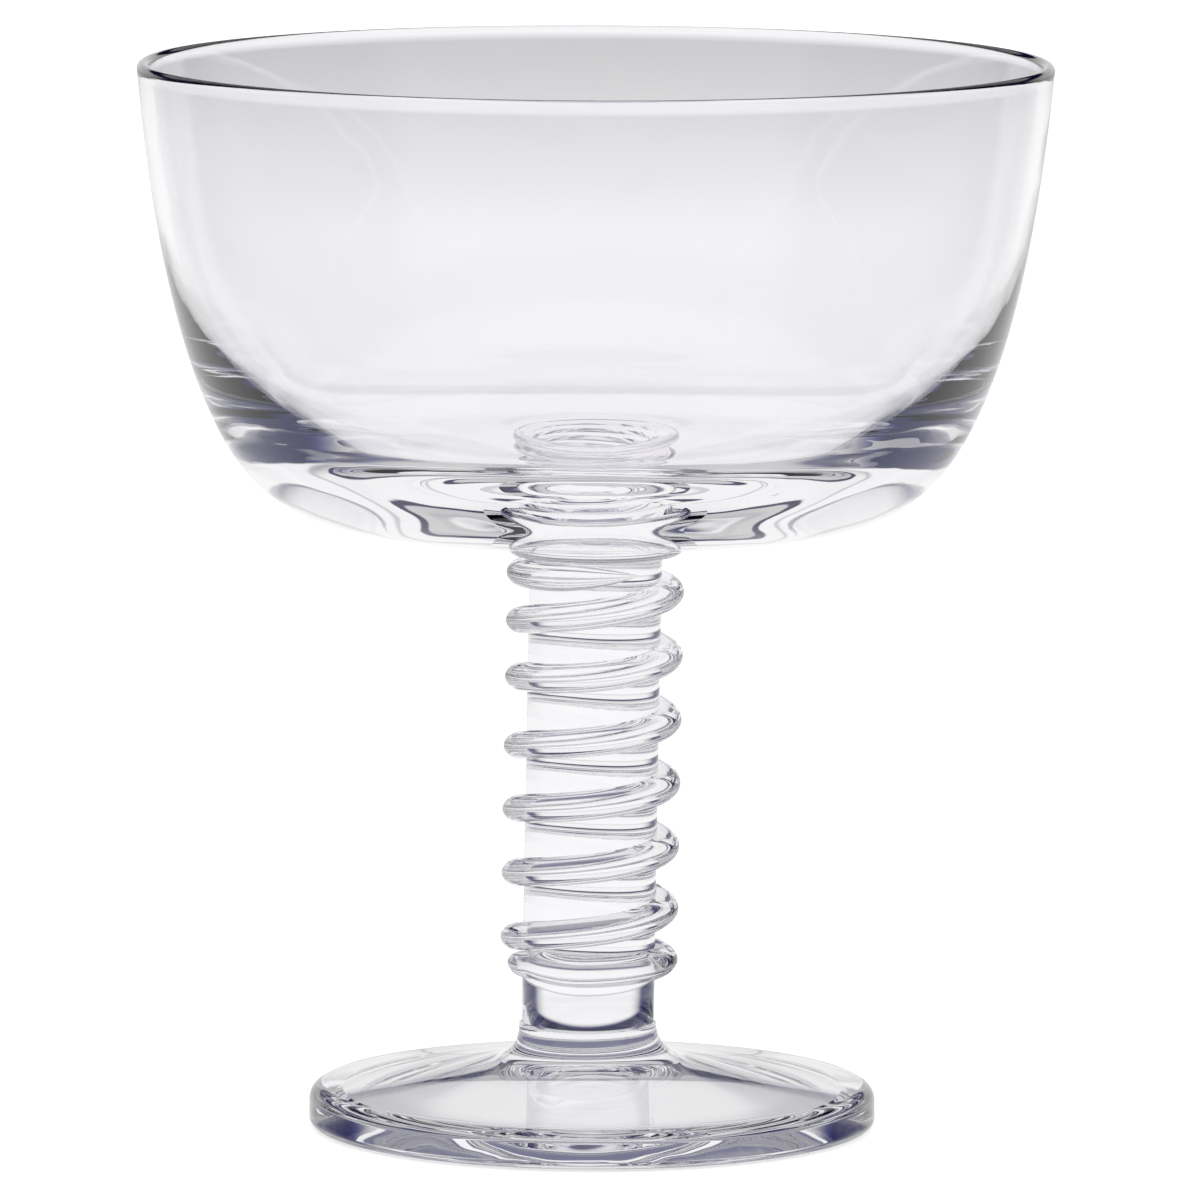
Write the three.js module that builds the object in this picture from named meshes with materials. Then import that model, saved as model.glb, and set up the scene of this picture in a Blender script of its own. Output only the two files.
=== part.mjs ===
// A hand-made champagne coupe in clear glass: a heavy-based bowl on a collar, a round stem with a
// glass trail wound up it, and a thick disc foot.
// Millimetres, +Z up. The origin is the centre of the foot's underside, where it stands on the table.
import * as THREE from "three";

// Bowl: heights are above its seat on the collar
const rimDiameter = 100;
const bowlHeight = 52;
const lipThickness = 1.5;
const wallLean = 5.2; // degrees that the wall leans out at the rim
const wallCurve = 15.5; // how far the wall runs straight down before it starts to turn in
const shoulderRadius = 41.2;
const shoulderHeight = 12;
const shoulderLean = 27; // degrees from upright where the wall turns into the underside
const shoulderCurveUp = 10.9;
const shoulderCurveDown = 13.6;
const undersideRise = 4.5; // degrees that the underside climbs away from the collar
const undersideCurve = 16;
const seatFlange = 0.6; // flat of the bowl's seat beyond the collar
const waistHeight = 34; // where the thin wall starts to thicken towards the base
const waistWall = 1.2;
const waistLean = 12;
const waistCurve = 10;
const thinWallCurve = 6; // how far the inside runs straight up from the waist
const heelInset = 3.8; // how far inside the shoulder the inside turns towards the floor
const heelHeight = 13.4;
const heelLean = 40; // degrees from upright
const heelCurve = 6;
const floorRadius = 23.7;
const floorThickness = 6.6;

// Collar, the flat button of glass between the bowl and the stem
const collarDiameter = 19.4;
const collarHeight = 2;

// Stem
const stemDiameter = 14.6;
const stemLength = 51.8;

// Spiral trail, the thread of glass wound round the stem
const trailWidth = 3.4; // along the stem
const trailStand = 2.2; // out from the stem
const trailPitch = 6.7;
const trailLift = 5.4; // bare stem between the foot and the trail
const trailStartAngle = 252; // degrees from +X, anticlockwise seen from above
const trailSelfGap = 0.6; // between the two level turns and the ones next to them
const trailEndScale = 0.55; // how far the blunt ends are drawn in
const trailClearance = 0.3; // to the stem and to the collar

// Foot
const footDiameter = 62.2;
const footEdgeHeight = 4.5;
const footTopRound = 1.7;
const footBottomRound = 0.9;
const footSeatHeight = 11.2;
const footSeatFlange = 0.4; // step of the foot's boss beyond the stem
const footBossDrop = 2.6;
const footKneeOut = 2.6; // how far beyond the boss the flare turns into the disc
const footKneeHeight = 7.3;
const footKneeLean = 65; // degrees from upright
const footKneeCurve = 1.2;
const footDiscRise = 6; // degrees that the disc climbs from its edge
const footDiscCurve = 8;
const footRing = 4.1; // width of the flat ring that it stands on, with its rounded edge
const footHollowHeight = 4.4;
const footHollowRise = 10.5; // degrees that the hollow underside climbs from the ring
const footHollowCurve = 9;
const footHollowFlat = 6;

// Fineness of the surfaces
const sidesAround = 48;
const curvePoints = 7;
const arcPoints = 4;
const trailStepsPerTurn = 24;

// Heights that follow from the sizes above
const stemTop = footSeatHeight + stemLength;
const bowlSeat = stemTop + collarHeight;
const rimTop = bowlSeat + bowlHeight;

const degrees = THREE.MathUtils.degToRad;

function clearGlass(color, opacity) {
  return new THREE.MeshStandardMaterial({
    color,
    roughness: 0.04,
    metalness: 0,
    transparent: true,
    opacity,
  });
}

// A point a given length from another one, along a line that leans from upright.
function leaning(from, lean, length) {
  const step = new THREE.Vector2(Math.sin(lean), Math.cos(lean)).multiplyScalar(length);
  return from.clone().add(step);
}

// Points along joined curves. Straight stretches need only their ends, and each joint is kept once.
function pointsAlong(curves) {
  const points = curves.flatMap((curve) => {
    if (curve.isLineCurve) return curve.getPoints(1);
    return curve.getPoints(curve.isEllipseCurve ? arcPoints : curvePoints);
  });
  return points.filter((point, i) => i === 0 || point.distanceTo(points[i - 1]) > 1e-6);
}

// A round solid turned about +Z from a profile of curves in radius and height.
function turned(name, curves, material) {
  const geometry = new THREE.LatheGeometry(pointsAlong(curves), sidesAround).rotateX(Math.PI / 2);
  const mesh = new THREE.Mesh(geometry, material);
  mesh.name = name;
  return mesh;
}

// The bowl's outside from its seat to the rim, as two curves that meet smoothly at the shoulder.
function bowlOutside() {
  const rim = new THREE.Vector2(rimDiameter / 2, bowlHeight - lipThickness / 2);
  const shoulder = new THREE.Vector2(shoulderRadius, shoulderHeight);
  const seatEdge = new THREE.Vector2(collarDiameter / 2 + seatFlange, 0);
  const underside = new THREE.CubicBezierCurve(
    seatEdge,
    leaning(seatEdge, Math.PI / 2 - degrees(undersideRise), undersideCurve),
    leaning(shoulder, degrees(shoulderLean), -shoulderCurveDown),
    shoulder,
  );
  const wall = new THREE.CubicBezierCurve(
    shoulder,
    leaning(shoulder, degrees(shoulderLean), shoulderCurveUp),
    leaning(rim, degrees(wallLean), -wallCurve),
    rim,
  );
  return { underside, wall };
}

// The outside radius at a height on the wall.
function wallRadiusAt(wall, height) {
  const points = wall.getPoints(200);
  const above = points.findIndex((point) => point.y >= height);
  const a = points[above - 1];
  const b = points[above];
  return THREE.MathUtils.mapLinear(height, a.y, b.y, a.x, b.x);
}

// The inside from the lip down the thin wall and the thick wall, then round the heel to the floor.
function bowlInside(wall) {
  const lipInside = new THREE.Vector2(rimDiameter / 2 - lipThickness, bowlHeight - lipThickness / 2);
  const waist = new THREE.Vector2(wallRadiusAt(wall, waistHeight) - waistWall, waistHeight);
  const heel = new THREE.Vector2(shoulderRadius - heelInset, heelHeight);
  const floorEdge = new THREE.Vector2(floorRadius, floorThickness);
  const floorCentre = new THREE.Vector2(0, floorThickness);
  const thinWall = new THREE.QuadraticBezierCurve(
    lipInside,
    leaning(waist, degrees(waistLean), thinWallCurve),
    waist,
  );
  const thickWall = new THREE.CubicBezierCurve(
    waist,
    leaning(waist, degrees(waistLean), -waistCurve),
    leaning(heel, degrees(heelLean), heelCurve),
    heel,
  );
  const floor = new THREE.CubicBezierCurve(
    heel,
    leaning(heel, degrees(heelLean), -heelCurve),
    floorEdge,
    floorCentre,
  );
  return { thinWall, thickWall, floor };
}

function bowl() {
  const { underside, wall } = bowlOutside();
  const { thinWall, thickWall, floor } = bowlInside(wall);
  const round = lipThickness / 2;
  const seat = new THREE.LineCurve(new THREE.Vector2(0, 0), underside.v0);
  const lip = new THREE.EllipseCurve(
    rimDiameter / 2 - round, bowlHeight - round, round, round, 0, Math.PI);
  const profile = [seat, underside, wall, lip, thinWall, thickWall, floor];
  const mesh = turned("bowl", profile, clearGlass(0xe8e7ee, 0.32));
  mesh.position.z = bowlSeat;
  return mesh;
}

function collar() {
  const radius = collarDiameter / 2;
  const round = collarHeight / 2;
  const profile = new THREE.Path().moveTo(0, 0).lineTo(radius - round, 0);
  profile.absarc(radius - round, round, round, -Math.PI / 2, Math.PI / 2);
  profile.lineTo(0, collarHeight);
  const mesh = turned("collar", profile.curves, clearGlass(0xe6e5ec, 0.36));
  mesh.position.z = stemTop;
  return mesh;
}

function stem() {
  const radius = stemDiameter / 2;
  const profile = new THREE.Path().moveTo(0, 0).lineTo(radius, 0);
  profile.lineTo(radius, stemLength).lineTo(0, stemLength);
  const mesh = turned("stem", profile.curves, clearGlass(0xe4e3ea, 0.4));
  mesh.position.z = footSeatHeight;
  return mesh;
}

// The foot's underside is hollow, so it stands on a ring.
function footUnderside(ringInside) {
  const edge = new THREE.Vector2(ringInside, 0);
  return new THREE.CubicBezierCurve(
    new THREE.Vector2(0, footHollowHeight),
    new THREE.Vector2(footHollowFlat, footHollowHeight),
    leaning(edge, degrees(footHollowRise - 90), footHollowCurve),
    edge,
  );
}

// The foot's top: a disc that climbs gently to the knee, then the flare up to the seat of the stem.
function footTop(discEdge, seatRadius) {
  const seat = new THREE.Vector2(seatRadius, footSeatHeight);
  const knee = new THREE.Vector2(seatRadius + footKneeOut, footKneeHeight);
  const disc = new THREE.CubicBezierCurve(
    discEdge,
    leaning(discEdge, degrees(footDiscRise - 90), footDiscCurve),
    leaning(knee, degrees(-footKneeLean), -footKneeCurve),
    knee,
  );
  const flare = new THREE.CubicBezierCurve(
    knee,
    leaning(knee, degrees(-footKneeLean), footKneeCurve),
    new THREE.Vector2(seatRadius, footSeatHeight - footBossDrop),
    seat,
  );
  return [disc, flare];
}

function foot() {
  const radius = footDiameter / 2;
  const seatRadius = stemDiameter / 2 + footSeatFlange;
  const underside = footUnderside(radius - footRing);
  const edge = new THREE.Path().moveTo(radius - footRing, 0).lineTo(radius - footBottomRound, 0);
  edge.absarc(radius - footBottomRound, footBottomRound, footBottomRound, -Math.PI / 2, 0);
  edge.absarc(radius - footTopRound, footEdgeHeight - footTopRound, footTopRound, 0, Math.PI / 2);
  const [disc, flare] = footTop(new THREE.Vector2(radius - footTopRound, footEdgeHeight), seatRadius);
  const seat = new THREE.LineCurve(flare.v3, new THREE.Vector2(0, footSeatHeight));
  const profile = [underside, ...edge.curves, disc, flare, seat];
  return turned("foot", profile, clearGlass(0xe7e6ed, 0.36));
}

// The trail's route: its first and last turns lie almost level, each climbing only enough to clear
// itself, and the turns between climb steadily.
const levelClimb = trailWidth + trailSelfGap;
const trailBottom = footSeatHeight + trailLift + trailWidth / 2;
const trailTop = stemTop - trailClearance - trailWidth / 2;
const steadyTurns = (trailTop - trailBottom - 2 * levelClimb) / trailPitch;
const trailTurns = steadyTurns + 2;

function trailHeight(turn) {
  const easing = trailPitch / levelClimb;
  if (turn < 1) return trailBottom + levelClimb * turn ** easing;
  if (turn > trailTurns - 1) return trailTop - levelClimb * (trailTurns - turn) ** easing;
  return trailBottom + levelClimb + trailPitch * (turn - 1);
}

// The trail's section: flat against the stem and rounded outwards, as fractions of stand and width.
const trailSection = [
  [0, -0.38],
  [0.45, -0.5],
  [1, -0.22],
  [1, 0.22],
  [0.45, 0.5],
  [0, 0.38],
];

// One ring of the trail's surface at a number of turns from its start.
function trailRing(turn, scale) {
  const angle = degrees(trailStartAngle) + 2 * Math.PI * turn;
  const innerRadius = stemDiameter / 2 + trailClearance;
  return trailSection.map(([out, along]) => {
    const radius = innerRadius + out * trailStand * scale;
    const height = trailHeight(turn) + along * trailWidth * scale;
    return new THREE.Vector3(radius * Math.cos(angle), radius * Math.sin(angle), height);
  });
}

function trailRings() {
  const steps = Math.round(trailTurns * trailStepsPerTurn);
  return Array.from({ length: steps + 1 }, (_, i) => {
    const isEnd = i === 0 || i === steps;
    return trailRing((i / steps) * trailTurns, isEnd ? trailEndScale : 1);
  });
}

// The least distance between points of the trail that lie at least half a turn apart along it.
function leastGapToItself(rings) {
  const apart = trailStepsPerTurn / 2;
  let least = Infinity;
  for (let i = 0; i < rings.length; i += 1) {
    for (let j = i + apart; j < rings.length; j += 1) {
      for (const a of rings[i]) {
        for (const b of rings[j]) least = Math.min(least, a.distanceTo(b));
      }
    }
  }
  return least;
}

function spiralTrail() {
  const rings = trailRings();
  const sides = trailSection.length;
  const positions = rings.flat().flatMap((point) => point.toArray());
  const index = [];
  for (let ring = 0; ring + 1 < rings.length; ring += 1) {
    for (let side = 0; side < sides; side += 1) {
      const a = ring * sides + side;
      const b = ring * sides + ((side + 1) % sides);
      index.push(a, a + sides, b, b, a + sides, b + sides);
    }
  }
  const last = (rings.length - 1) * sides;
  for (let side = 1; side + 1 < sides; side += 1) {
    index.push(0, side, side + 1);
    index.push(last, last + side + 1, last + side);
  }
  const geometry = new THREE.BufferGeometry();
  geometry.setAttribute("position", new THREE.Float32BufferAttribute(positions, 3));
  geometry.setIndex(index);
  geometry.computeVertexNormals();
  const mesh = new THREE.Mesh(geometry, clearGlass(0xe2e1e9, 0.42));
  mesh.name = "spiral_trail";
  console.log(`spiral_trail: ${trailTurns.toFixed(2)} turns, least gap to itself`,
    `${leastGapToItself(rings).toFixed(2)} mm, overall height ${rimTop.toFixed(1)} mm`);
  return mesh;
}

const champagneGlass = new THREE.Group();
champagneGlass.name = "champagne_glass";
champagneGlass.add(foot(), stem(), spiralTrail(), collar(), bowl());

export default champagneGlass;
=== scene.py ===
"""Looks of a hand-made champagne coupe in clear glass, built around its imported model.

Metres, +Z up. The five pieces of glass meet on shared faces, so light passes from one into the
next as it does where hot glass has fused.
"""
import math

import bpy
import numpy as np
from mathutils import Matrix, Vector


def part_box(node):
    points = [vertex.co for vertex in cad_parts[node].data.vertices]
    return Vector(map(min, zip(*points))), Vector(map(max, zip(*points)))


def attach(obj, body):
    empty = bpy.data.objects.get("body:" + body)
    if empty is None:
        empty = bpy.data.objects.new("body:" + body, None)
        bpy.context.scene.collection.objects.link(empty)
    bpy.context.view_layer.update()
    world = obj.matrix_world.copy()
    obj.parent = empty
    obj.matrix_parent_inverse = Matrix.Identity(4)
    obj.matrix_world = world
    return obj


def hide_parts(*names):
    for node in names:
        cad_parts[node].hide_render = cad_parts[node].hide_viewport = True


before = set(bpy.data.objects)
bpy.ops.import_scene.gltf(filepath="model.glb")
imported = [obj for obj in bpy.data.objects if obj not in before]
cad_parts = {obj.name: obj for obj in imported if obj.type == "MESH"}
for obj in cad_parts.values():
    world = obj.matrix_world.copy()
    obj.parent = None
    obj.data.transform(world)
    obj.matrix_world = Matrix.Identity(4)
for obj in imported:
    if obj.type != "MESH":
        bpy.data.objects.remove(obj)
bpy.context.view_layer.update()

MM = 0.001

# Sizes and places that the frame gives
bowl_low, bowl_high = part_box("bowl")
_, collar_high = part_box("collar")
stem_low, stem_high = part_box("stem")
_, trail_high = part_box("spiral_trail")
_, foot_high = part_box("foot")
RIM_RADIUS = bowl_high.x
RIM_TOP = bowl_high.z
BOWL_SEAT = bowl_low.z
COLLAR_RADIUS = collar_high.x
STEM_RADIUS = stem_high.x
STEM_BOTTOM = stem_low.z
STEM_TOP = stem_high.z
TRAIL_RADIUS = trail_high.x
FOOT_RADIUS = foot_high.x

# Bowl: heights are above its seat on the collar
LIP_THICKNESS = 1.5 * MM
WALL_LEAN = math.radians(5.2)
WALL_CURVE = 15.5 * MM
SHOULDER = (41.2 * MM, 12 * MM)
SHOULDER_LEAN = math.radians(27)
SHOULDER_CURVE_UP = 10.9 * MM
SHOULDER_CURVE_DOWN = 13.6 * MM
UNDERSIDE_RISE = math.radians(4.5)
UNDERSIDE_CURVE = 16 * MM
SEAT_FLANGE = 0.6 * MM
WAIST_HEIGHT = 34 * MM
WAIST_WALL = 1.6 * MM
WAIST_LEAN = math.radians(10.5)
WAIST_CURVE = 11 * MM
THIN_WALL_CURVE = 8 * MM
HEEL = (37.4 * MM, 13.4 * MM)
HEEL_LEAN = math.radians(40)
HEEL_CURVE = 6 * MM
BOWL_FLOOR_RADIUS = 23.7 * MM
BOWL_FLOOR_THICKNESS = 6.6 * MM

# Stem and collar
STEM_END_ROUND = 0.25 * MM
COLLAR_ROUND = (BOWL_SEAT - STEM_TOP) / 2

# Trail: angles go round the stem, and turns count from where the trail has its first full turn
TRAIL_START_ANGLE = math.radians(196)
TRAIL_END_ANGLE = math.radians(2830)
TRAIL_HALF_WIDTH = 1.6 * MM
TRAIL_STAND = TRAIL_RADIUS - STEM_RADIUS
TRAIL_FIRST_HEIGHT = STEM_BOTTOM + 6.5 * MM
TRAIL_SELF_GAP = 0.04 * MM
TRAIL_TAPER = 10 * MM
TRAIL_TAIL_ANGLE = math.radians(46)
TRAIL_CURL = 1.6 * MM
TRAIL_CURL_TURN = 0.2
TRAIL_TILT = 0.3 * MM
TRAIL_KINK = 0.75 * MM
TRAIL_KINK_TURN = 4.88
TRAIL_KINK_SPREAD = 0.22
TRAIL_GROOVE = 0.03 * MM
TRAIL_GROOVES = 2
TRAIL_BLUNTNESS = 0.8

# Foot
FOOT_EDGE_HEIGHT = 4.5 * MM
FOOT_TOP_ROUND = 1.7 * MM
FOOT_BOTTOM_ROUND = 0.9 * MM
FOOT_SEAT_FLANGE = 0.25 * MM
FOOT_HOLLOW_RADIUS = 27 * MM
FOOT_HOLLOW_HEIGHT = 4.4 * MM
FOOT_HOLLOW_RISE = math.radians(10.5)
FOOT_HOLLOW_CURVE = 9 * MM
FOOT_HOLLOW_FLAT = 6 * MM
FOOT_KNEE = (10.3 * MM, 7.3 * MM)
FOOT_KNEE_LEAN = math.radians(65)
FOOT_KNEE_CURVE = 1.2 * MM
FOOT_DISC_RISE = math.radians(6)
FOOT_DISC_CURVE = 8 * MM
FOOT_BOSS_DROP = 2.6 * MM

# Unevenness of hand work: the stem stands a little off the axis, and the skin is faintly wavy.
# A wave is its number round the glass, its depth, and its radians per metre of height and radius.
STEM_OFF_FOOT = -0.5 * MM
STEM_OFF_BOWL = 0.2 * MM
SKIN_WAVES = (
    (2, 0.035 * MM, 90, 40),
    (3, 0.03 * MM, -70, 95),
    (5, 0.02 * MM, 160, -120),
    (9, 0.008 * MM, -300, 210),
)

# Fineness of the surfaces
SIDES = 240
CURVE_POINTS = 48
ARC_POINTS = 14
TRAIL_SECTION_POINTS = 28

# Camera, fitted to the outlines of the rim, bowl and foot
CAMERA_DISTANCE = 1.355
CAMERA_HEIGHT = 0.230
CAMERA_PITCH = 0.1263
CAMERA_YAW = 0.0005
CAMERA_ROLL = 0.0039
CAMERA_LENS = 374.55
CAMERA_SENSOR = 36
CAMERA_REACH = 20

# Glass: its colour where it is clearest and densest, the cords that mix them, and the skin's ripple
GLASS_IOR = 1.5
GLASS_CLEAR = (0.985, 0.978, 0.992)
GLASS_DENSE = (0.955, 0.945, 0.972)
CORD_SCALE = 55
CORD_DETAIL = 3
CORD_TWIST = 0.8
RIPPLE_SCALE = 140
RIPPLE_DETAIL = 1
RIPPLE_STRENGTH = 0.25
RIPPLE_DEPTH = 0.06 * MM

# Studio that the glass shows, by degrees of rise above the floor and degrees to the side of its
# far end. A change is where it starts, where it ends and the level that it leads to; 1 is white.
WHITE = 1.0
FAR_LEVEL = 0.94
FAR_DARK_BAR = (11, 14, 0.06)
FAR_GREY = (17.5, 20.5, 0.6)
FAR_HIGH_GREY = (30, 38, 0.5)
NEAR_LEVEL = 0.4
NEAR_GREY = (4, 16, 0.6)
NEAR_HIGH_DARK = (24, 32, 0.06)
SIDE_CARD = (28, 46, 0.09)
NEAR_SIDES = (112, 130)
OVERHEAD_LEVEL = 0.9
OVERHEAD_SIDE = (40, 70, 0.65)
OVERHEAD_RISE = (42, 50)
OVERHEAD_RING = (56, 64, 0.8)
OVERHEAD_TOP = (70, 76, 0.1)

# Colour of what is dark in the studio, and the levels between which it goes over to white
DARK_CAST = (0.25, 0.25, 1.0)
DARK_CAST_LEVELS = (0.05, 0.5)

# Floor of the studio: as the camera sees it, then as the glass shows it, by metres from the axis
FLOOR_HALF_SIZE = 6
FLOOR_DROP = 0.2 * MM
FLOOR_COLOUR = (0.8, 0.8, 0.8)
FLOOR_GLOW = 0.55
# Painted falloff of light on the floor that the glass shows: it glows greyer far off and to the
# sides.
FLOOR_FAR_LEVEL = 0.98
FLOOR_FAR_GREY = (0.75, 1.55, 0.64)
FLOOR_SIDE_LEVEL = 0.95
FLOOR_SIDE_GREY = (0.6, 1.2, 0.4)
FLOOR_SIDES = (25, 50)
# Painted shadow of the glass on the floor that the glass shows: beside the foot dark on the far and
# near sides and pale between, under the foot darker on the far side, near white under the stem.
BESIDE_FOOT_SHADOW_LEVEL = 0.3
BESIDE_FOOT_PALE = (40, 50, 0.95)
BESIDE_FOOT_DARK = (88, 100, 0.1)
BESIDE_FOOT_REACH = (46 * MM, 58 * MM)
UNDER_FOOT_SHADOW_LEVEL = 0.4
UNDER_FOOT_PALE = (38, 48, 0.85)
UNDER_FOOT_REACH = (32 * MM, 36 * MM)
UNDER_STEM_LEVEL = 0.95
UNDER_STEM_REACH = (20 * MM, 24 * MM)

# How often light may pass or bounce before it is given up
MOST_BOUNCES = 48
MOST_REFLECTIONS = 16
MOST_CLEAR_FACES = 64

# Kinds of face: the skin of the glass, and where two pieces are fused
GLASS, SEAL = 0, 1


def leaning(start, lean, length):
    """A point of a profile a length from another one, along a line that leans from upright."""
    return (start[0] + math.sin(lean) * length, start[1] + math.cos(lean) * length)


def bezier(*controls, count=CURVE_POINTS):
    """Points on a Bezier curve of any degree, ends included."""
    points = np.repeat(np.array(controls, float)[:, None, :], count + 1, axis=1)
    t = np.linspace(0, 1, count + 1)[:, None]
    while len(points) > 1:
        points = points[:-1] * (1 - t) + points[1:] * t
    return points[0]


def arc(centre, radius, start, end, count=ARC_POINTS):
    """Points on a circular arc between two angles."""
    angle = np.linspace(start, end, count + 1)
    return np.stack([centre[0] + radius * np.cos(angle), centre[1] + radius * np.sin(angle)], axis=1)


def line(*points):
    """A profile straight from point to point."""
    return np.array(points, float)


def smooth(value):
    """Eases a value from 0 to 1."""
    return value * value * (3 - 2 * value)


def off_axis(height):
    """How far the glass stands to the side of its axis at a height."""
    along = (height - STEM_BOTTOM) / (STEM_TOP - STEM_BOTTOM)
    stem = STEM_OFF_FOOT + (STEM_OFF_BOWL - STEM_OFF_FOOT) * np.clip(along, 0, 1)
    into_foot = np.clip((height - FOOT_EDGE_HEIGHT) / (STEM_BOTTOM - FOOT_EDGE_HEIGHT), 0, 1)
    below_floor = BOWL_SEAT + BOWL_FLOOR_THICKNESS - height
    into_bowl = np.clip(below_floor / BOWL_FLOOR_THICKNESS, 0, 1)
    return stem * smooth(into_foot) * smooth(into_bowl)


def hand_made(vertices):
    """Moves points as uneven hand work does, and points that meet alike.

    The skin's waves only go inwards, so the glass stays within its outline.
    """
    x, y, z = np.asarray(vertices, float).T
    radius = np.hypot(x, y)
    angle = np.arctan2(y, x)
    wave = np.zeros_like(radius)
    for turns, depth, by_height, by_radius in SKIN_WAVES:
        wave += depth * (np.sin(turns * angle + by_height * z + by_radius * radius) - 1) / 2
    inner = np.clip(radius / (2 * STEM_RADIUS), 0, 1)
    moved = 1 + wave * smooth(inner) / np.maximum(radius, 1e-9)
    return np.stack([x * moved + off_axis(z), y * moved, z], axis=1)


def mesh_piece(name, vertices, faces, face_kinds, sharp_pairs=()):
    """A smooth glass piece. Faces of kind SEAL are where it is fused to its neighbour."""
    mesh = bpy.data.meshes.new(name)
    mesh.from_pydata(hand_made(vertices).tolist(), [], faces)
    mesh.polygons.foreach_set("material_index", face_kinds)
    mesh.polygons.foreach_set("use_smooth", [True] * len(faces))
    sharp = {frozenset(pair) for pair in sharp_pairs}
    if sharp:
        for edge in mesh.edges:
            edge.use_edge_sharp = frozenset(edge.vertices) in sharp
    mesh.update()
    piece = bpy.data.objects.new(name, mesh)
    bpy.context.scene.collection.objects.link(piece)
    return piece


def turned_piece(name, stretches):
    """A closed round piece from stretches of profile, bottom of the axis to its top.

    Each stretch is its points and its kind. The profile is sharp where two stretches meet.
    """
    points = [stretches[0][0][0]]
    kinds = []
    corners = []
    for stretch, kind in stretches:
        points.extend(stretch[1:])
        kinds.extend([kind] * (len(stretch) - 1))
        corners.append(len(points) - 1)
    ring_points = np.array(points[1:-1])
    angle = np.arange(SIDES) * 2 * math.pi / SIDES
    rings = np.empty((len(ring_points), SIDES, 3))
    rings[..., 0] = ring_points[:, :1] * np.cos(angle)
    rings[..., 1] = ring_points[:, :1] * np.sin(angle)
    rings[..., 2] = ring_points[:, 1:]
    bottom, top = (0, 0, points[0][1]), (0, 0, points[-1][1])
    vertices = np.concatenate([rings.reshape(-1, 3), [bottom, top]])
    bottom_index, top_index = len(vertices) - 2, len(vertices) - 1
    ahead = (np.arange(SIDES) + 1) % SIDES
    faces = [(bottom_index, int(b), a) for a, b in enumerate(ahead)]
    face_kinds = [kinds[0]] * SIDES
    for ring, kind in enumerate(kinds[1:-1]):
        low, high = ring * SIDES, (ring + 1) * SIDES
        faces.extend((low + a, low + int(b), high + int(b), high + a) for a, b in enumerate(ahead))
        face_kinds.extend([kind] * SIDES)
    last = (len(ring_points) - 1) * SIDES
    faces.extend((last + a, last + int(b), top_index) for a, b in enumerate(ahead))
    face_kinds.extend([kinds[-1]] * SIDES)
    sharp = []
    for corner in corners[:-1]:
        start = (corner - 1) * SIDES
        sharp.extend((start + a, start + int(b)) for a, b in enumerate(ahead))
    return mesh_piece(name, vertices, faces, face_kinds, sharp)


def lifted(points, height):
    """A profile moved up."""
    return np.asarray(points, float) + (0, height)


def make_bowl():
    """A thin lip and upper wall over a heavy base, standing on the collar."""
    rim = (RIM_RADIUS, RIM_TOP - BOWL_SEAT - LIP_THICKNESS / 2)
    seat_edge = (COLLAR_RADIUS + SEAT_FLANGE, 0)
    joint = (COLLAR_RADIUS - COLLAR_ROUND, 0)
    underside = bezier(
        seat_edge,
        leaning(seat_edge, math.pi / 2 - UNDERSIDE_RISE, UNDERSIDE_CURVE),
        leaning(SHOULDER, SHOULDER_LEAN, -SHOULDER_CURVE_DOWN),
        SHOULDER,
    )
    wall = bezier(
        SHOULDER,
        leaning(SHOULDER, SHOULDER_LEAN, SHOULDER_CURVE_UP),
        leaning(rim, WALL_LEAN, -WALL_CURVE),
        rim,
    )
    lip = arc((rim[0] - LIP_THICKNESS / 2, rim[1]), LIP_THICKNESS / 2, 0, math.pi)
    waist_radius = np.interp(WAIST_HEIGHT, wall[:, 1], wall[:, 0]) - WAIST_WALL
    waist = (float(waist_radius), WAIST_HEIGHT)
    thin_wall = bezier(lip[-1], leaning(waist, WAIST_LEAN, THIN_WALL_CURVE), waist)
    thick_wall = bezier(
        waist,
        leaning(waist, WAIST_LEAN, -WAIST_CURVE),
        leaning(HEEL, HEEL_LEAN, HEEL_CURVE),
        HEEL,
    )
    floor = bezier(
        HEEL,
        leaning(HEEL, HEEL_LEAN, -HEEL_CURVE),
        (BOWL_FLOOR_RADIUS, BOWL_FLOOR_THICKNESS),
        (0, BOWL_FLOOR_THICKNESS),
    )
    skin = np.concatenate([underside, wall[1:], lip[1:], thin_wall[1:], thick_wall[1:], floor[1:]])
    stretches = [
        (line((0, 0), joint), SEAL),
        (line(joint, seat_edge), GLASS),
        (skin, GLASS),
    ]
    lifted_stretches = [(lifted(points, BOWL_SEAT), kind) for points, kind in stretches]
    return turned_piece("glass_bowl", lifted_stretches)


def make_collar():
    """A flattened ring with a round edge."""
    joint = COLLAR_RADIUS - COLLAR_ROUND
    edge = arc((joint, STEM_TOP + COLLAR_ROUND), COLLAR_ROUND, -math.pi / 2, math.pi / 2)
    return turned_piece("glass_collar", [
        (line((0, STEM_TOP), (STEM_RADIUS, STEM_TOP)), SEAL),
        (np.concatenate([[(STEM_RADIUS, STEM_TOP)], edge]), GLASS),
        (line(edge[-1], (0, BOWL_SEAT)), SEAL),
    ])


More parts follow.
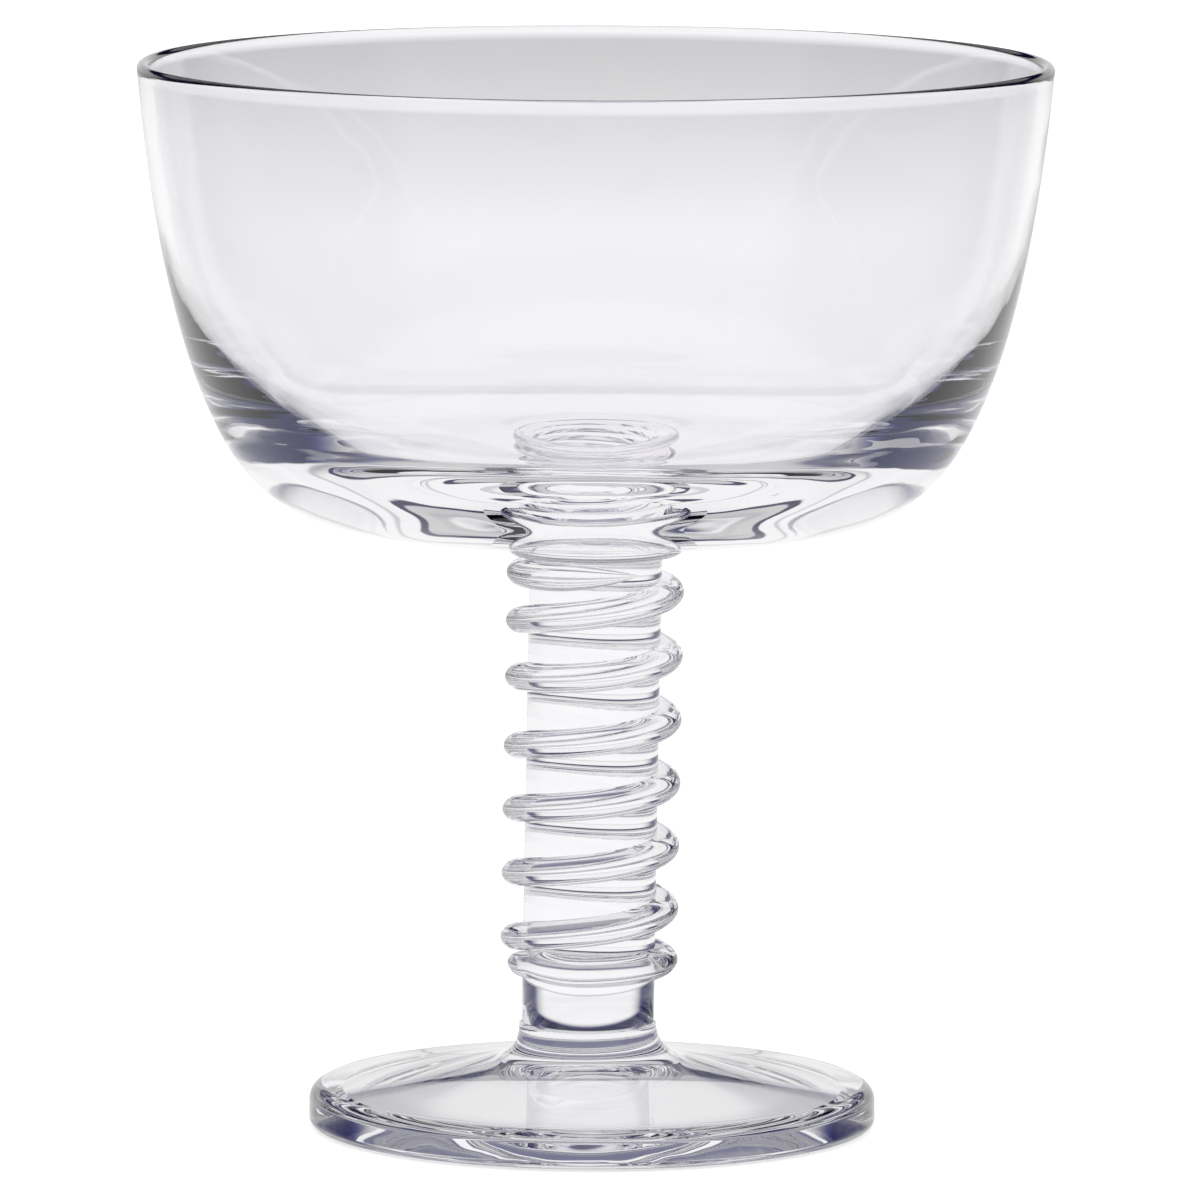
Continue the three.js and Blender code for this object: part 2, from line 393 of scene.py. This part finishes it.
def make_foot():
    """A disc that flares up to the stem, hollowed above the ring on which it stands."""
    joint = (STEM_RADIUS - STEM_END_ROUND, STEM_BOTTOM)
    seat = (STEM_RADIUS + FOOT_SEAT_FLANGE, STEM_BOTTOM)
    edge_radius = FOOT_RADIUS - FOOT_TOP_ROUND
    low_round = arc((FOOT_RADIUS - FOOT_BOTTOM_ROUND, FOOT_BOTTOM_ROUND), FOOT_BOTTOM_ROUND,
                    -math.pi / 2, 0)
    top_round = arc((edge_radius, FOOT_EDGE_HEIGHT - FOOT_TOP_ROUND), FOOT_TOP_ROUND, 0, math.pi / 2)
    disc = bezier(
        top_round[-1],
        leaning(top_round[-1], FOOT_DISC_RISE - math.pi / 2, FOOT_DISC_CURVE),
        leaning(FOOT_KNEE, -FOOT_KNEE_LEAN, -FOOT_KNEE_CURVE),
        FOOT_KNEE,
    )
    flare = bezier(
        FOOT_KNEE,
        leaning(FOOT_KNEE, -FOOT_KNEE_LEAN, FOOT_KNEE_CURVE),
        (seat[0], STEM_BOTTOM - FOOT_BOSS_DROP),
        seat,
    )
    hollow_edge = (FOOT_HOLLOW_RADIUS, 0)
    hollow = bezier(
        (0, FOOT_HOLLOW_HEIGHT),
        (FOOT_HOLLOW_FLAT, FOOT_HOLLOW_HEIGHT),
        leaning(hollow_edge, FOOT_HOLLOW_RISE - math.pi / 2, FOOT_HOLLOW_CURVE),
        hollow_edge,
    )
    side = np.concatenate([low_round, top_round, disc[1:], flare[1:]])
    return turned_piece("glass_foot", [
        (hollow, GLASS),
        (line(hollow_edge, low_round[0]), GLASS),
        (side, GLASS),
        (line(seat, joint), GLASS),
        (line(joint, (0, STEM_BOTTOM)), SEAL),
    ])


class TrailRoute:
    """Where the trail lies on the stem: one step for each side of the stem that it passes.

    Its first and last turns are almost level and the turns between climb steadily. A tapered tail
    leads into the first turn. low and high are the heights of the two edges along which it is fused
    to the stem.
    """

    def __init__(self):
        tail = round(TRAIL_TAIL_ANGLE / (2 * math.pi) * SIDES)
        wound = round((TRAIL_END_ANGLE - TRAIL_START_ANGLE) / (2 * math.pi) * SIDES)
        self.steps = tail + wound
        step = np.arange(self.steps + 1)
        turns = wound / SIDES
        turn = (step - tail) / SIDES
        self.first_side = round(TRAIL_START_ANGLE / (2 * math.pi) * SIDES) - tail
        self.angle = (step + self.first_side) * 2 * math.pi / SIDES
        level_climb = 2 * TRAIL_HALF_WIDTH + TRAIL_SELF_GAP
        last_height = STEM_TOP - TRAIL_HALF_WIDTH - TRAIL_SELF_GAP
        pitch = (last_height - TRAIL_FIRST_HEIGHT - 2 * level_climb) / (turns - 2)
        easing = pitch / level_climb
        steady = TRAIL_FIRST_HEIGHT + level_climb + pitch * (turn - 1)
        first = TRAIL_FIRST_HEIGHT + level_climb * np.clip(turn, 0, 1) ** easing
        last = last_height - level_climb * np.clip(turns - turn, 0, 1) ** easing
        height = np.where(turn < 1, first, np.where(turn > turns - 1, last, steady))
        middle = np.sin(math.pi * np.clip(turn / turns, 0, 1))
        kink = TRAIL_KINK * np.exp(-((turn - TRAIL_KINK_TURN) / TRAIL_KINK_SPREAD) ** 2)
        taper_steps = TRAIL_TAPER / (2 * math.pi * STEM_RADIUS) * SIDES
        from_end = np.clip(np.minimum(step, self.steps - step) / taper_steps, 0, 1)
        self.fullness = np.sin(math.pi / 2 * from_end)
        half = TRAIL_HALF_WIDTH * self.fullness
        self.height = height + kink - TRAIL_TILT * middle * np.cos(self.angle)
        curl = TRAIL_CURL * np.clip(1 - turn / TRAIL_CURL_TURN, 0, 1) ** 2
        room = (self.height - half)[SIDES:] - (self.height + half)[:-SIDES] - TRAIL_SELF_GAP
        self.height[:-SIDES] += np.minimum(curl[:-SIDES], room)
        self.low = self.height - half
        self.high = self.height + half

    def on_stem(self, heights):
        """Points of the stem's side, one for each step, at the given heights."""
        across = STEM_RADIUS * np.cos(self.angle)
        deep = STEM_RADIUS * np.sin(self.angle)
        return np.stack([across, deep, heights], axis=1)


def ring(radius, height):
    """Points of a circle, one for each side."""
    angle = np.arange(SIDES) * 2 * math.pi / SIDES
    return np.stack([radius * np.cos(angle), radius * np.sin(angle), np.full(SIDES, height)], axis=1)


def make_stem(route):
    """The stem's side is divided along the two edges of the trail, which it shares with the trail."""
    steps = route.steps
    low = route.on_stem(route.low)
    high = route.on_stem(route.high)
    parts = [
        low,
        high[1:-1],
        ring(STEM_RADIUS, STEM_BOTTOM + STEM_END_ROUND),
        ring(STEM_RADIUS - STEM_END_ROUND, STEM_BOTTOM),
        ring(STEM_RADIUS, STEM_TOP),
        [(0, 0, STEM_BOTTOM), (0, 0, STEM_TOP)],
    ]
    firsts = np.cumsum([0] + [len(part) for part in parts]).tolist()
    _, high_edge, side_ring, joint_ring, top_ring, bottom_centre, _ = firsts
    top_centre = bottom_centre + 1
    vertices = np.concatenate(parts)

    def low_at(i):
        return i

    def high_at(i):
        return i if i in (0, steps) else high_edge + i - 1

    def around(first, i):
        return first + (i + route.first_side) % SIDES

    faces = []
    kinds = []

    def add(face, kind):
        """Adds a face without the corners that fall together at the trail's points."""
        faces.append([corner for i, corner in enumerate(face) if corner != face[i - 1]])
        kinds.append(kind)

    for i in range(steps):
        add((low_at(i), low_at(i + 1), high_at(i + 1), high_at(i)), SEAL)
        above = i + SIDES
        if above < steps:
            over = (low_at(above + 1), low_at(above))
        else:
            over = (around(top_ring, i + 1), around(top_ring, i))
        if above == steps:
            over = (*over, low_at(above))
        add((high_at(i), high_at(i + 1), *over), GLASS)
    for i in range(SIDES):
        side, next_side = around(side_ring, i), around(side_ring, i + 1)
        joint, next_joint = around(joint_ring, i), around(joint_ring, i + 1)
        if i == SIDES - 1:
            add((side, next_side, low_at(0), low_at(i + 1), low_at(i)), GLASS)
        else:
            add((side, next_side, low_at(i + 1), low_at(i)), GLASS)
        add((joint, next_joint, next_side, side), GLASS)
        add((bottom_centre, next_joint, joint), SEAL)
        add((top_centre, around(top_ring, i), around(top_ring, i + 1)), SEAL)
    sharp = []
    for first in (joint_ring, top_ring):
        sharp.extend((around(first, i), around(first, i + 1)) for i in range(SIDES))
    return mesh_piece("glass_stem", vertices, faces, kinds, sharp)


def make_trail(route):
    """A rounded thread, drawn out to a point at each end, lying along its band of the stem."""
    steps = route.steps
    count = TRAIL_SECTION_POINTS
    section_angle = np.linspace(-math.pi / 2, math.pi / 2, count + 1)
    fullness = route.fullness[1:-1, None]
    groove = TRAIL_GROOVE * np.cos(2 * TRAIL_GROOVES * section_angle) * np.cos(section_angle)
    stand = (TRAIL_STAND - TRAIL_GROOVE) * np.cos(section_angle) ** TRAIL_BLUNTNESS
    outward = (stand + groove) * fullness
    along = TRAIL_HALF_WIDTH * np.sin(section_angle) * fullness
    radius = STEM_RADIUS + outward
    angle = route.angle[1:-1, None]
    rows = np.stack([
        radius * np.cos(angle),
        radius * np.sin(angle),
        route.height[1:-1, None] + along,
    ], axis=2)
    rows[:, 0] = route.on_stem(route.low)[1:-1]
    rows[:, -1] = route.on_stem(route.high)[1:-1]
    ends = route.on_stem(route.low)[[0, -1]]
    vertices = np.concatenate([rows.reshape(-1, 3), ends])
    width = count + 1
    start, end = len(vertices) - 2, len(vertices) - 1
    last = (steps - 2) * width
    faces = []
    kinds = []
    sharp = []
    for row in range(steps - 2):
        a, b = row * width, (row + 1) * width
        for k in range(count):
            faces.append((a + k, b + k, b + k + 1, a + k + 1))
            kinds.append(GLASS)
        faces.append((a, a + count, b + count, b))
        kinds.append(SEAL)
        sharp.extend([(a, b), (a + count, b + count)])
    for k in range(count):
        faces.append((start, k, k + 1))
        faces.append((last + k, end, last + k + 1))
        kinds.extend([GLASS, GLASS])
    faces.append((start, count, 0))
    faces.append((last, last + count, end))
    kinds.extend([SEAL, SEAL])
    sharp.extend([(start, 0), (start, count), (end, last), (end, last + count)])
    return mesh_piece("glass_spiral_trail", vertices, faces, kinds, sharp)


def new_material(name):
    """A material with its nodes and links."""
    material = bpy.data.materials.new(name)
    material.use_nodes = True
    return material, material.node_tree.nodes, material.node_tree.links


def clear_glass(name):
    """Colourless glass with a faint lilac cast, uneven as in a gather, and a fire-polished skin."""
    material, nodes, links = new_material(name)
    shader = nodes["Principled BSDF"]
    shader.inputs["Transmission Weight"].default_value = 1
    shader.inputs["IOR"].default_value = GLASS_IOR
    shader.inputs["Roughness"].default_value = 0
    place = nodes.new("ShaderNodeTexCoord").outputs["Object"]
    cords = nodes.new("ShaderNodeTexNoise")
    cords.inputs["Scale"].default_value = CORD_SCALE
    cords.inputs["Detail"].default_value = CORD_DETAIL
    cords.inputs["Distortion"].default_value = CORD_TWIST
    links.new(place, cords.inputs["Vector"])
    cast = nodes.new("ShaderNodeMix")
    cast.data_type = "RGBA"
    cast.inputs["A"].default_value = (*GLASS_CLEAR, 1)
    cast.inputs["B"].default_value = (*GLASS_DENSE, 1)
    links.new(cords.outputs["Fac"], cast.inputs["Factor"])
    links.new(cast.outputs["Result"], shader.inputs["Base Color"])
    ripple = nodes.new("ShaderNodeTexNoise")
    ripple.inputs["Scale"].default_value = RIPPLE_SCALE
    ripple.inputs["Detail"].default_value = RIPPLE_DETAIL
    links.new(place, ripple.inputs["Vector"])
    bump = nodes.new("ShaderNodeBump")
    bump.inputs["Strength"].default_value = RIPPLE_STRENGTH
    bump.inputs["Distance"].default_value = RIPPLE_DEPTH
    links.new(ripple.outputs["Fac"], bump.inputs["Height"])
    links.new(bump.outputs["Normal"], shader.inputs["Normal"])
    return material


def make_seal():
    """Fused faces inside the glass, which nobody sees."""
    material, nodes, _ = new_material("fused_joint")
    shader = nodes["Principled BSDF"]
    shader.inputs["Alpha"].default_value = 0
    shader.inputs["IOR"].default_value = 1
    shader.inputs["Specular IOR Level"].default_value = 0
    return material


def dress(piece, node, slot, seal):
    """Puts a finished piece in the place of its node."""
    piece.data.materials.append(clear_glass(slot))
    piece.data.materials.append(seal)
    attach(piece, "root")
    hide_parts(node)


def make_camera():
    """The photograph's view of the glass."""
    camera = bpy.data.objects.new("camera", bpy.data.cameras.new("camera"))
    camera.data.lens = CAMERA_LENS
    camera.data.sensor_width = CAMERA_SENSOR
    camera.data.clip_end = CAMERA_REACH
    place = Matrix.Translation((0, -CAMERA_DISTANCE, CAMERA_HEIGHT))
    turn = Matrix.Rotation(-CAMERA_YAW, 4, "Z")
    tip = Matrix.Rotation(math.pi / 2 - CAMERA_PITCH, 4, "X")
    roll = Matrix.Rotation(CAMERA_ROLL, 4, "Z")
    camera.matrix_world = place @ turn @ tip @ roll
    bpy.context.scene.collection.objects.link(camera)
    bpy.context.scene.camera = camera


class Levels:
    """Small sums on node sockets, for the studio's brightness by direction."""

    def __init__(self, tree):
        self.tree = tree

    def maths(self, operation, *values):
        """One sum of numbers or sockets."""
        node = self.tree.nodes.new("ShaderNodeMath")
        node.operation = operation
        for socket, value in zip(node.inputs, values):
            if isinstance(value, bpy.types.NodeSocket):
                self.tree.links.new(value, socket)
            else:
                socket.default_value = value
        return node.outputs[0]

    def ramp(self, value, start, end, at_start=0.0, at_end=1.0):
        """A smooth change from one level to another as a value goes from start to end."""
        node = self.tree.nodes.new("ShaderNodeMapRange")
        node.interpolation_type = "SMOOTHSTEP"
        self.tree.links.new(value, node.inputs["Value"])
        for name, number in zip(("From Min", "From Max"), (start, end)):
            node.inputs[name].default_value = number
        for name, level in zip(("To Min", "To Max"), (at_start, at_end)):
            if isinstance(level, bpy.types.NodeSocket):
                self.tree.links.new(level, node.inputs[name])
            else:
                node.inputs[name].default_value = level
        return node.outputs["Result"]

    def change(self, value, level, step):
        """A level that goes over to another one, in a step as the studio's changes are written."""
        start, end, changed = step
        return self.ramp(value, start, end, level, changed)

    def side_angle(self, x, y):
        """Degrees to either side of the far end of the studio: 0 is far, 180 is near."""
        across = self.maths("ABSOLUTE", x)
        return self.maths("DEGREES", self.maths("ARCTAN2", across, y))

    def away(self, x, y):
        """Distance from the axis."""
        squares = self.maths("ADD", self.maths("MULTIPLY", x, x), self.maths("MULTIPLY", y, y))
        return self.maths("SQRT", squares)

    def parts(self, vector):
        """The x, y and z of a vector."""
        node = self.tree.nodes.new("ShaderNodeSeparateXYZ")
        self.tree.links.new(vector, node.inputs[0])
        return node.outputs

    def seen_directly(self):
        """1 where the camera itself looks."""
        return self.tree.nodes.new("ShaderNodeLightPath").outputs["Is Camera Ray"]

    def seen_by_matt(self):
        """1 where light falls on a matt surface, such as the floor."""
        return self.tree.nodes.new("ShaderNodeLightPath").outputs["Is Diffuse Ray"]

    def shade(self, level):
        """White where it is bright, going over to a deep blue where it is dark."""
        node = self.tree.nodes.new("ShaderNodeMix")
        node.data_type = "RGBA"
        node.inputs["A"].default_value = (*DARK_CAST, 1)
        node.inputs["B"].default_value = (1, 1, 1, 1)
        self.tree.links.new(self.ramp(level, *DARK_CAST_LEVELS), node.inputs["Factor"])
        return node.outputs["Result"]


def make_world():
    """White to the camera and on the floor. The glass shows a studio with dark cards at its sides.

    Dark cards are what gives clear glass its edges.
    """
    world = bpy.data.worlds.new("studio")
    bpy.context.scene.world = world
    world.use_nodes = True
    tree = world.node_tree
    levels = Levels(tree)
    x, y, z = levels.parts(tree.nodes.new("ShaderNodeTexCoord").outputs["Generated"])
    side = levels.side_angle(x, y)
    rise = levels.maths("DEGREES", levels.maths("ARCSINE", z))
    far_end = levels.change(rise, FAR_LEVEL, FAR_DARK_BAR)
    far_end = levels.change(rise, far_end, FAR_GREY)
    far_end = levels.change(rise, far_end, FAR_HIGH_GREY)
    near_end = levels.change(rise, NEAR_LEVEL, NEAR_GREY)
    near_end = levels.change(rise, near_end, NEAR_HIGH_DARK)
    low = levels.change(side, far_end, SIDE_CARD)
    low = levels.ramp(side, *NEAR_SIDES, low, near_end)
    overhead = levels.change(side, OVERHEAD_LEVEL, OVERHEAD_SIDE)
    level = levels.ramp(rise, *OVERHEAD_RISE, low, overhead)
    level = levels.change(rise, level, OVERHEAD_RING)
    level = levels.change(rise, level, OVERHEAD_TOP)
    plain = levels.maths("MAXIMUM", levels.seen_directly(), levels.seen_by_matt())
    level = levels.ramp(plain, 0, 1, level, WHITE)
    background = tree.nodes["Background"]
    tree.links.new(levels.shade(level), background.inputs["Color"])
    tree.links.new(level, background.inputs["Strength"])


def make_floor():
    """White to the camera, with the glass's shadow. The glass shows it as a glow of painted light and
    shade: graded as lit in a studio, with a painted shadow beside and under the foot.
    """
    size = FLOOR_HALF_SIZE
    mesh = bpy.data.meshes.new("floor")
    corners = [(-size, -size, 0), (size, -size, 0), (size, size, 0), (-size, size, 0)]
    mesh.from_pydata(corners, [], [(0, 1, 2, 3)])
    floor = bpy.data.objects.new("floor", mesh)
    floor.location.z = -FLOOR_DROP
    bpy.context.scene.collection.objects.link(floor)
    material, nodes, links = new_material("floor")
    levels = Levels(material.node_tree)
    x, y, _ = levels.parts(nodes.new("ShaderNodeNewGeometry").outputs["Position"])
    side = levels.side_angle(x, y)
    away = levels.away(x, y)
    # Painted falloff of light: the floor glows greyer far off and to the sides.
    far_floor_falloff = levels.change(away, FLOOR_FAR_LEVEL, FLOOR_FAR_GREY)
    side_floor_falloff = levels.change(away, FLOOR_SIDE_LEVEL, FLOOR_SIDE_GREY)
    level = levels.ramp(side, *FLOOR_SIDES, far_floor_falloff, side_floor_falloff)
    # Painted shadow of the glass beside and under the foot, which the glowing floor cannot receive.
    beside_foot_shadow = levels.change(side, BESIDE_FOOT_SHADOW_LEVEL, BESIDE_FOOT_PALE)
    beside_foot_shadow = levels.change(side, beside_foot_shadow, BESIDE_FOOT_DARK)
    level = levels.ramp(away, *BESIDE_FOOT_REACH, beside_foot_shadow, level)
    under_foot_shadow = levels.change(side, UNDER_FOOT_SHADOW_LEVEL, UNDER_FOOT_PALE)
    level = levels.ramp(away, *UNDER_FOOT_REACH, under_foot_shadow, level)
    level = levels.ramp(away, *UNDER_STEM_REACH, UNDER_STEM_LEVEL, level)
    lit = nodes["Principled BSDF"]
    lit.inputs["Base Color"].default_value = (*FLOOR_COLOUR, 1)
    lit.inputs["Roughness"].default_value = 1
    lit.inputs["Specular IOR Level"].default_value = 0
    lit.inputs["Emission Color"].default_value = (1, 1, 1, 1)
    lit.inputs["Emission Strength"].default_value = FLOOR_GLOW
    through_glass = nodes.new("ShaderNodeEmission")
    links.new(levels.shade(level), through_glass.inputs["Color"])
    links.new(level, through_glass.inputs["Strength"])
    choice = nodes.new("ShaderNodeMixShader")
    links.new(levels.seen_directly(), choice.inputs[0])
    links.new(through_glass.outputs[0], choice.inputs[1])
    links.new(lit.outputs[0], choice.inputs[2])
    links.new(choice.outputs[0], nodes["Material Output"].inputs["Surface"])
    floor.data.materials.append(material)


route = TrailRoute()
seal = make_seal()
dress(make_bowl(), "bowl", "bowl_glass", seal)
dress(make_collar(), "collar", "collar_glass", seal)
dress(make_stem(route), "stem", "stem_glass", seal)
dress(make_trail(route), "spiral_trail", "trail_glass", seal)
dress(make_foot(), "foot", "foot_glass", seal)
make_camera()
make_world()
make_floor()

scene = bpy.context.scene
scene.view_settings.view_transform = "Standard"
scene.cycles.max_bounces = MOST_BOUNCES
scene.cycles.transmission_bounces = MOST_BOUNCES
scene.cycles.glossy_bounces = MOST_REFLECTIONS
scene.cycles.transparent_max_bounces = MOST_CLEAR_FACES
